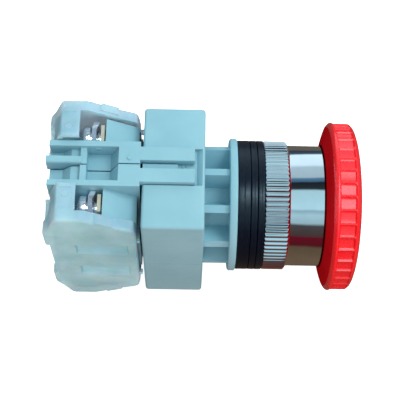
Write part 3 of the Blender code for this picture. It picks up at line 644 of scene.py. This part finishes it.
def ring_nut():
    """Chromed nut: fluted grip with a chamfered front, plain collar with a rolled end."""
    rear, front = NUT_LOW.x, NUT_HIGH.x
    flank = rear + 0.25                              # where the grip's flutes start
    chamfer = GRIP_END - GRIP_CHAMFER
    outside = [(rear, NUT_BORE_R), (rear, NUT_R - 0.25), (rear + 0.08, NUT_R - 0.08),
               (flank, NUT_R)]
    outside += [(flank + (chamfer - flank) * k / 6, NUT_R) for k in range(1, 7)]
    outside += [(chamfer + GRIP_CHAMFER * k / 5, NUT_R - 0.75 * k / 5) for k in range(1, 6)]
    outside += [(GRIP_END + 0.05, COLLAR_R + 0.05), (GRIP_END + 0.2, COLLAR_R),
                (front - 0.2, COLLAR_R), (front - 0.06, COLLAR_R - 0.1), (front, COLLAR_R - 0.3)]
    inside = [(front, SHROUD_R), (NUT_THREAD_END, SHROUD_R), (NUT_THREAD_END, NUT_BORE_R)]
    solid = turned(outside + inside, FLUTES * 12)

    def flute(x, radius, angle):
        if x > GRIP_END + 0.02 or radius < COLLAR_R + 0.15:
            return radius
        phase = (angle * FLUTES / math.tau) % 1
        rise = min(abs(phase - 0.5) / 0.5, 1)              # 0 on a ridge, 1 in the groove
        cut = FLUTE_DEPTH * (0.5 - 0.5 * math.cos(math.pi * rise))
        return min(radius, NUT_R - cut)

    nut = object_of("ring_nut", reshaped(solid, flute))
    return finished(nut, "bezel", CHROME, "bezel_nut", smooth=30)


def head():
    """Red mushroom head: cupped back, lips on each side of a scalloped band, shallow dome."""
    rear, front, dome_r = HEAD_LOW.x, HEAD_HIGH.x, HEAD_R - 0.6
    core = [(STUD_BORE_END, 0), (STUD_BORE_END, STUD_BORE_R), (rear, STUD_BORE_R),
            (rear, BOSS_R - 0.3), (rear + 0.3, BOSS_R), (INSIDE - 0.5, BOSS_R),
            (INSIDE, BOSS_R + 0.5), (INSIDE, MOUTH_R - 0.6), (INSIDE - 0.5, MOUTH_R - 0.1)]
    bowl = [(HEAD_BACK, MOUTH_R - 0.1), (HEAD_BACK, MOUTH_R)] + HEAD_CONE
    bowl = rounded(bowl + [(RIM_BACK, HEAD_R), (RIM_BACK + 0.3, HEAD_R)], 0.6, 4, closed=False)
    lip = [(RIM_BACK + 0.38, HEAD_R - 0.06)]
    band_width = RIM_FRONT - RIM_BACK - 0.9
    band = [(RIM_BACK + 0.48 + band_width * k / 18, HEAD_R - 0.22) for k in range(19)]
    edge = [(RIM_FRONT - 0.3, HEAD_R - 0.26), (RIM_FRONT - 0.12, HEAD_R - 0.36),
            (RIM_FRONT, dome_r)]
    dome = []
    for step in range(1, 12):
        angle = math.radians(90 * step / 12)
        dome.append((RIM_FRONT + (front - RIM_FRONT) * math.sin(angle), dome_r * math.cos(angle)))
    solid = turned(core + bowl + lip + band + edge + dome + [(front, 0)], SCALLOPS * 16)
    start, end = RIM_BACK + 0.4, RIM_FRONT - 0.32

    def scallop(x, radius, angle):
        if radius < HEAD_R - 0.5 or not start < x < end:
            return radius
        phase = abs((angle * SCALLOPS / math.tau) % 1 - 0.5) / 0.5      # 0 mid-pad, 1 on a ridge
        pad = min(1.0, (1 - phase) / 0.22) * (0.72 + 0.28 * (1 - phase * phase))
        fade = min(x - start, end - x) / 0.25
        return radius - SCALLOP_DEPTH * pad * min(max(fade, 0), 1)

    cap = object_of("red_mushroom_head", reshaped(solid, scallop))
    cap.data.materials.append(RED)
    cap.data.materials.append(RED_PLASTIC_PAINTED_SHADE)
    # Faces of the cup inside the cone take the darker red: painted shade
    for face in cap.data.polygons:
        x, y, z = (c / MM for c in face.center)
        if x < HEAD_CONE[1][0] and math.hypot(y, z) < CUP_R:
            face.material_index = 1
    return finished(cap, "head", RED, "mushroom_head", smooth=42)


def threaded_stem():
    """Turned stem: threaded stud, piston with its seal groove, rod, journal and clip groove."""
    low, high = corners("stem")
    stud = [(high.x, 0), (high.x, 2.6)]
    x = high.x - 0.3
    while x > 18.0:
        stud += [(x, TAIL_R), (x - 0.25, TAIL_R - 0.35)]
        x -= 0.5
    piston = [(17.6, TAIL_R), (17.3, TAIL_R), (17.3, PISTON_R - 0.15), (17.15, PISTON_R),
              (14.2, PISTON_R), (14.2, SEAL_R), (12.4, SEAL_R), (12.4, PISTON_R),
              (6.45, PISTON_R), (6.3, PISTON_R - 0.15), (6.3, ROD_R)]
    journal = [(-9.9, ROD_R), (-9.9, TAIL_R), (-15.8, TAIL_R), (-15.8, CLIP_R), (-16.5, CLIP_R),
               (-16.5, TAIL_R), (low.x + 0.2, TAIL_R), (low.x, TAIL_R - 0.2), (low.x, 0)]
    base = turned(stud + piston + journal, 72)
    pin_bore = rod(PIN_BORE_R, -6, 6, "Y", (PIN_X, 0, 0))
    shaft = carved("threaded_stem", base, [("DIFFERENCE", pin_bore)])
    return finished(shaft, "head", BRASS, "stem", smooth=30)


def springs():
    """Coil springs, each wound between its seats and given a mesh of its own."""
    low, high = corners("return_spring")
    coil = object_of("return_coil", helix(low.x, high.x, 5.4, 0.4, 4.5))
    finished(coil, "operator", WIRE, "return_spring", smooth=60)
    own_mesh(coil)
    for kind, side, turns in (("nc", -1, 5), ("no", 1, 8)):
        low, high = corners(kind + "_plunger_spring")
        solid = helix(low.x, high.x, 1.5, 0.2, turns, centre=(0, side * TERMINAL_Y, 0), sides=10)
        coil = object_of(kind + "_coil", solid)
        finished(coil, "operator", WIRE, kind + "_plunger_spring", smooth=60)
        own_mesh(coil)
    start, end = 0.02, 1.34                          # from the stem's middle to a pin's foot
    for name, side in (("left", 1), ("right", -1)):
        solid = helix(start, end, 0.55, 0.14, 2.6, "Y", (PIN_X, 0, 0), steps=20, sides=8)
        coil = object_of("detent_coil_" + name, mirror(solid, side_y=side))
        finished(coil, "head", WIRE, "detent_spring", smooth=60)
        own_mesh(coil)


# ---------------------------------------------------------------- contact blocks

def housing(kind, side, has_key):
    """Block moulding: spine with its pockets, clip arms, contact chamber, terminal shoulders."""
    steps = []

    def add(solid):
        steps.append(("UNION", mirror(solid, side)))

    def cut(solid):
        steps.append(("DIFFERENCE", mirror(solid, side)))

    base = mirror(block((BLOCK_REAR, SEAM, -SPINE_Z), (BLOCK_FRONT, WALL_OUT, SPINE_Z)), side)
    add(block((BLOCK_REAR + 0.4, WALL_OUT - 1, -BODY_HALF_Z),
              (BLOCK_FRONT - 0.1, BLOCK_OUT, BODY_HALF_Z)))
    for up in (1, -1):
        # Shoulder beside the terminal, then the arm that runs forward into the holder's notch
        add(mirror(slab(SHOULDER, WALL_OUT - 0.8, BLOCK_OUT - 0.1), side_z=up))
        add(mirror(block(ARM_LOW, ARM_HIGH), side_z=up))
        # Deep pocket, then the channel behind the cross rib
        cut(mirror(slab(POCKET, -1, WALL_IN), side_z=up))
        cut(mirror(slab(CHANNEL, -1, WALL_IN), side_z=up))
        cut(mirror(block(RIB_LOW, RIB_HIGH), side_z=up))
        if has_key:
            add(mirror(block(KEY_LOW, KEY_HIGH, 0.45, 0), side_z=up))
            add(mirror(lozenge(-24.4, 1.45, SPINE_Z), side_z=up))
        add(mirror(ejector_mark((-31.5, WALL_IN, 19.4), "Y", 0.8, -0.25), side_z=up))
        # Slot for the contact strip and relief for the screw's tip
        cut(mirror(block(STRIP_SLOT_LOW, STRIP_SLOT_HIGH), side_z=up))
        cut(rod(SCREW_R + 0.3, -31, -27.2, "X", (0, TERMINAL_Y, up * TERMINAL_Z)))
    cut(block(CHAMBER_LOW, CHAMBER_HIGH))
    moulding = carved(kind + "_block_moulding", base, steps, 0.17)
    return finished(moulding, "operator", PLASTIC, kind + "_block_housing")


def pan_screw(prefix, centre):
    """Terminal screw: a domed head with a cross slot, and a threaded shank."""
    low, high = corners(prefix + "screw")
    top, tip = low.x, high.x
    dome = [(top, 0)]
    for step in range(1, 9):
        angle = math.radians(90 * step / 8)
        dome.append((top + 1.0 - math.cos(angle), SCREW_HEAD_R * math.sin(angle)))
    shank = [(UNDER_HEAD - 0.1, SCREW_HEAD_R), (UNDER_HEAD, SCREW_HEAD_R - 0.1),
             (UNDER_HEAD, SCREW_R)]
    x = UNDER_HEAD + 0.5
    while x < tip - 0.7:
        shank += [(x, SCREW_R), (x + SCREW_PITCH / 2, SCREW_R - 0.28)]
        x += SCREW_PITCH
    point = [(tip - 0.4, SCREW_R - 0.1), (tip, 1.25), (tip, 0)]
    solid = moved(turned(dome + shank + point, 64), centre)
    slots = []
    for half_y, half_z in ((SLOT_REACH, SLOT_HALF), (SLOT_HALF, SLOT_REACH)):
        slot = block((top - 1, centre[1] - half_y, centre[2] - half_z),
                     (top + SLOT_DEPTH, centre[1] + half_y, centre[2] + half_z))
        slots.append(("DIFFERENCE", slot))
    screw = carved(prefix + "pan_screw", solid, slots)
    return finished(screw, prefix + "screw", ZINC, prefix + "screw", smooth=32)


def saddle_washer(prefix, centre):
    """Square washer dished towards the wire, its edges turned forward."""
    rear, front, half = WASHER_REAR, WASHER_FRONT, WASHER_HALF_Y
    section = [(rear + 0.4, -half), (rear, 1.2 - half), (rear, half - 1.2), (rear + 0.4, half),
               (front, half), (front - 0.3, half - 0.9), (rear + 1, half - 1.6),
               (rear + 1, 1.6 - half), (front - 0.3, 0.9 - half), (front, -half)]
    solid = moved(slab(rounded(section, 0.3), -WASHER_HALF_Z, WASHER_HALF_Z, "Z"), centre)
    hole = rod(WASHER_BORE_R, rear - 1, front + 1, "X", centre)
    washer = carved(prefix + "saddle_washer", solid, [("DIFFERENCE", hole)])
    return finished(washer, prefix + "clamp", ZINC, prefix + "clamp", smooth=32)


def cover(kind, side):
    """Thin see-through guard: side plate with two sunk windows, rim, and a hood at each end."""
    outline = COVER_HALF + [(x, -z) for x, z in reversed(COVER_HALF)]
    shell = slab(rounded(outline, 0.9), COVER_IN, COVER_OUT, edge=0.75)
    steps = []

    def cut(solid):
        steps.append(("DIFFERENCE", mirror(solid, side)))

    hollow = rounded(inset(outline, COVER_EDGE), 0.5, 2)
    cut(slab(hollow, COVER_IN - BEYOND, COVER_OUT - COVER_SIDE))
    # What is left of the edge: a rim in front, a hood at each end behind, open between them
    cut(block((HOOD_FRONT, 4, -30), (-20, COVER_RIM, 30)))
    cut(block((-45, 4, -HOOD_Z), (HOOD_FRONT + 0.7, COVER_RIM, HOOD_Z)))
    cut(block((-45, 4, -9.0), (-42.2, 16, 9.0)))
    disc = [(COVER_TOP - 0.5, 0), (COVER_TOP - 0.5, 0.75), (COVER_TOP - 0.1, 0.75),
            (COVER_TOP - 0.04, 0.69), (COVER_TOP - 0.04, 0)]
    for up in (1, -1):
        hole = rod(SCREW_HOLE_R, -45, -41, "X", (0, TERMINAL_Y, TERMINAL_Z), 40)
        cut(mirror(hole, side_z=up))
        middle_x, middle_z = sum(WINDOW_X) / 2, up * WINDOW_Z
        window = block((WINDOW_X[0], COVER_OUT - WINDOW_DEPTH, middle_z - WINDOW_HALF_Z),
                       (WINDOW_X[1], COVER_OUT + 1, middle_z + WINDOW_HALF_Z))
        for vert in window.verts:
            if vert.co.y > COVER_OUT:                      # sides slope out towards the face
                vert.co.x += 0.8 if vert.co.x > middle_x else -0.8
                vert.co.z += 0.9 if vert.co.z > middle_z else -0.9
        cut(window)
        # Shallow panel on the hood with a small round mark
        cut(mirror(block(PANEL_LOW, PANEL_HIGH, 0.1, 2), side_z=up))
        steps.append(("UNION", mirror(standing_disc(disc, (-38.0, 8.3, 0), "Z"), side, up)))
        # Hook at the rim's front, and the ledge on its slope
        steps.append(("UNION", mirror(block(HOOK_LOW, HOOK_HIGH, 0.15), side, up)))
        steps.append(("UNION", mirror(slab(LEDGE, 13.0, COVER_OUT - 0.1), side, up)))
    guard = carved(kind + "_finger_guard", mirror(shell, side), steps, 0.14)
    return finished(guard, "operator", COVER, kind + "_terminal_cover", smooth=40)


# ---------------------------------------------------------------- carried CAD pieces

def carry(material, *names):
    """CAD nodes that keep their shape and take a finished material."""
    for name in names:
        mesh = NODES[name].data
        mesh.materials.clear()
        mesh.materials.append(material)
        mesh.shade_smooth()
        mesh.set_sharp_from_angle(angle=math.radians(35))


# ---------------------------------------------------------------- studio

AIM = (-6.5, -0.8, -0.5)
DISTANCE, AZIMUTH, ELEVATION, ROLL, LENS = 251.15, 2.49, 65.85, 3.35, 90.9

# Colour of the surroundings by angle round the X axis: 0 overhead, 90 towards -Y, -90 towards +Y.
# They show only in glossy surfaces: pale panels with dark gaps above and on the far side, and a
# band of dark red low on the near side.
SURROUNDINGS = [(-180, (0.11, 0.08, 0.05)), (-112, (0.12, 0.11, 0.10)), (-106, (0.03, 0.04, 0.06)),
                (-95, (0.05, 0.08, 0.12)), (-90, (0.72, 0.96, 1.10)), (-62, (0.66, 0.88, 1.02)),
                (-55, (0.40, 0.55, 0.66)), (-33, (0.36, 0.50, 0.58)), (-30, (0.09, 0.20, 0.32)),
                (-24, (0.05, 0.13, 0.22)), (-21, (0.012, 0.016, 0.02)), (-8, (0.02, 0.03, 0.04)),
                (-4, (0.38, 0.62, 0.72)), (30, (0.42, 0.70, 0.82)), (34, (0.26, 0.42, 0.50)),
                (42, (0.36, 0.58, 0.68)), (58, (0.30, 0.46, 0.54)), (63, (0.06, 0.06, 0.065)),
                (84, (0.06, 0.035, 0.035)), (88, (0.12, 0.005, 0.016)), (106, (0.08, 0.008, 0.012)),
                (112, (0.10, 0.07, 0.045)), (150, (0.13, 0.09, 0.06))]

# Diffuse light of the same room: even overhead, warm from the near side, dimmer from the far side
# and from below.
ROOM_LIGHT = [(-180, (0.45, 0.42, 0.38)), (-110, (0.45, 0.45, 0.45)), (-80, (0.60, 0.66, 0.72)),
              (-40, (0.79, 0.83, 0.84)), (20, (0.79, 0.83, 0.84)), (60, (0.92, 0.78, 0.76)),
              (100, (1.0, 0.70, 0.66)), (150, (0.66, 0.48, 0.42))]


def surround(tree, share, strength, stops):
    """A background whose colour follows the angle round the X axis."""
    background = tree.nodes.new("ShaderNodeBackground")
    by_share = [((degrees + 180) / 360, colour) for degrees, colour in stops]
    tree.links.new(colour_ramp(tree, share, by_share), background.inputs["Color"])
    tree.links.new(strength, background.inputs["Strength"])
    return background


def studio_world():
    """A soft room for diffuse light, sharper bands for reflections, plain white for the camera."""
    world = bpy.data.worlds.new("studio")
    bpy.context.scene.world = world
    world.use_nodes = True
    tree = world.node_tree
    tree.nodes.clear()
    new, link = tree.nodes.new, tree.links.new

    def mixed(share, first, second):
        mix = new("ShaderNodeMixShader")
        link(share, mix.inputs["Fac"])
        link(first.outputs[0], mix.inputs[1])
        link(second.outputs[0], mix.inputs[2])
        return mix

    split = new("ShaderNodeSeparateXYZ")
    link(new("ShaderNodeTexCoord").outputs["Generated"], split.inputs[0])
    flip = new("ShaderNodeMath")
    flip.operation = "MULTIPLY"
    flip.inputs[1].default_value = -1
    link(split.outputs["Y"], flip.inputs[0])
    angle = new("ShaderNodeMath")
    angle.operation = "ARCTAN2"
    link(flip.outputs[0], angle.inputs[0])
    link(split.outputs["Z"], angle.inputs[1])
    share = map_range(tree, angle.outputs[0], (-math.pi, math.pi), (0, 1))
    # The room is dimmer behind the blocks, towards -X
    dim = map_range(tree, split.outputs["X"], (-0.9, -0.1), (0.45, 1))
    room = surround(tree, share, dim, ROOM_LIGHT)
    bands = surround(tree, share, dim, SURROUNDINGS)
    backdrop = new("ShaderNodeBackground")
    backdrop.inputs["Color"].default_value = (1, 1, 1, 1)
    path = new("ShaderNodeLightPath")
    lighting = mixed(path.outputs["Is Glossy Ray"], room, bands)
    shown = mixed(path.outputs["Is Camera Ray"], lighting, backdrop)
    link(shown.outputs[0], new("ShaderNodeOutputWorld").inputs["Surface"])


def softbox(name, place, target, size, power, colour=(1, 1, 1), only=None, reflected=False):
    """A square lamp aimed at a point, in millimetres and watts; it may light some pieces only."""
    lamp = bpy.data.lights.new(name, "AREA")
    lamp.shape = "SQUARE"
    lamp.size = size * MM
    lamp.energy = power
    lamp.color = colour
    obj = bpy.data.objects.new(name, lamp)
    bpy.context.scene.collection.objects.link(obj)
    obj.location = Vector(place) * MM
    obj.rotation_euler = (Vector(target) - Vector(place)).to_track_quat("-Z", "Y").to_euler()
    obj.visible_glossy = reflected
    if only:
        lit = bpy.data.collections.new("lit_by_" + name)
        for piece in only:
            lit.objects.link(piece)
        obj.light_linking.receiver_collection = lit


def floor():
    """Plain pale floor just below the covers, left out of reflections and of bounced light."""
    half_side, clearance = 3000, 0.4
    solid = bmesh.new()
    bmesh.ops.create_grid(solid, x_segments=1, y_segments=1, size=half_side)
    obj = object_of("floor", solid)
    obj.location = (0, 0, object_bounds()[0][2] - clearance * MM)
    obj.visible_glossy = obj.visible_diffuse = False
    paint = Paint("pale_floor", Roughness=0.9, Specular_IOR_Level=0.0, Emission_Strength=0.75,
                  Emission_Color=(1, 1, 1, 1))
    paint.colour(paint.noise(0.01, 2), (0.2, (0.93, 0.93, 0.93)), (0.8, (0.95, 0.95, 0.95)))
    obj.data.materials.append(paint.material)
    obj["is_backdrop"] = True


def camera():
    """Looks down at AIM from this distance, azimuth and elevation, with a slight roll."""
    azimuth, elevation, roll = (math.radians(a) for a in (AZIMUTH, ELEVATION, ROLL))
    back = Vector((-math.sin(azimuth) * math.cos(elevation),
                   -math.cos(azimuth) * math.cos(elevation), math.sin(elevation)))
    level = Vector((math.cos(azimuth), -math.sin(azimuth), 0))
    right = level * math.cos(roll) + back.cross(level) * math.sin(roll)
    up = back.cross(right)
    lens = bpy.data.cameras.new("camera")
    lens.lens = LENS
    lens.clip_start = 0.01
    obj = bpy.data.objects.new("camera", lens)
    bpy.context.scene.collection.objects.link(obj)
    turn = Matrix((right, up, back)).transposed().to_4x4()
    obj.matrix_world = Matrix.Translation((Vector(AIM) + back * DISTANCE) * MM) @ turn
    bpy.context.scene.camera = obj


# ---------------------------------------------------------------- build

camera()
operator()
rings = [rubber_ring("panel_gasket", "operator", 0.05),
         rubber_ring("spacer_ring", "operator", 0.03), rubber_ring("thrust_ring", "thrust", 0.03)]
cap = head()
ring_nut()
threaded_stem()
springs()
guards, terminals = [], []
for kind, side in (("nc", -1), ("no", 1)):
    housing(kind, side, kind == "no")
    guards.append(cover(kind, side))
    for place, up in (("upper", 1), ("lower", -1)):
        prefix, centre = f"{kind}_{place}_", (0, side * TERMINAL_Y, up * TERMINAL_Z)
        terminals += [pan_screw(prefix, centre), saddle_washer(prefix, centre)]
        carry(BRASS, prefix + "contact")
    carry(BLACK, kind + "_block_base", kind + "_plunger")
    carry(BRASS, kind + "_bridge")
carry(RUBBER, "stem_seal")
carry(BLACK, "latch_ring", "push_plate")
carry(ZINC, "detent_pin_left", "detent_pin_right", "retaining_clip")

studio_world()
softbox("key", (250, 60, 470), (0, 0, 0), 230, 1.3)
softbox("near_fill", (-40, -460, 130), (0, 0, 0), 260, 0.36, (1.0, 0.91, 0.88))
softbox("far_fill", (-220, 420, 200), (0, 0, 0), 240, 0.5, (0.9, 0.96, 1.0))
# Brighter overhead panels, each caught by the rubber, the red head or the terminals only
softbox("gloss", (70, -60, 520), (0, 0, 0), 170, 1.0, (0.58, 0.86, 1.0), rings, True)
softbox("head_gloss", (90, -60, 520), (24, 0, 0), 400, 1.15, (1.0, 0.9, 1.0), [cap], True)
softbox("terminal_gloss", (-60, -60, 520), (-33, 0, 15), 200, 2.6, (0.82, 0.94, 1.0),
        terminals, True)
# A slanting light that brings up the milky side of the near cover
softbox("cover_fill", (-120, -440, 190), (0, 0, 0), 160, 0.95, (1.0, 1.0, 0.66), guards)
floor()
bpy.context.scene.view_settings.view_transform = "Standard"
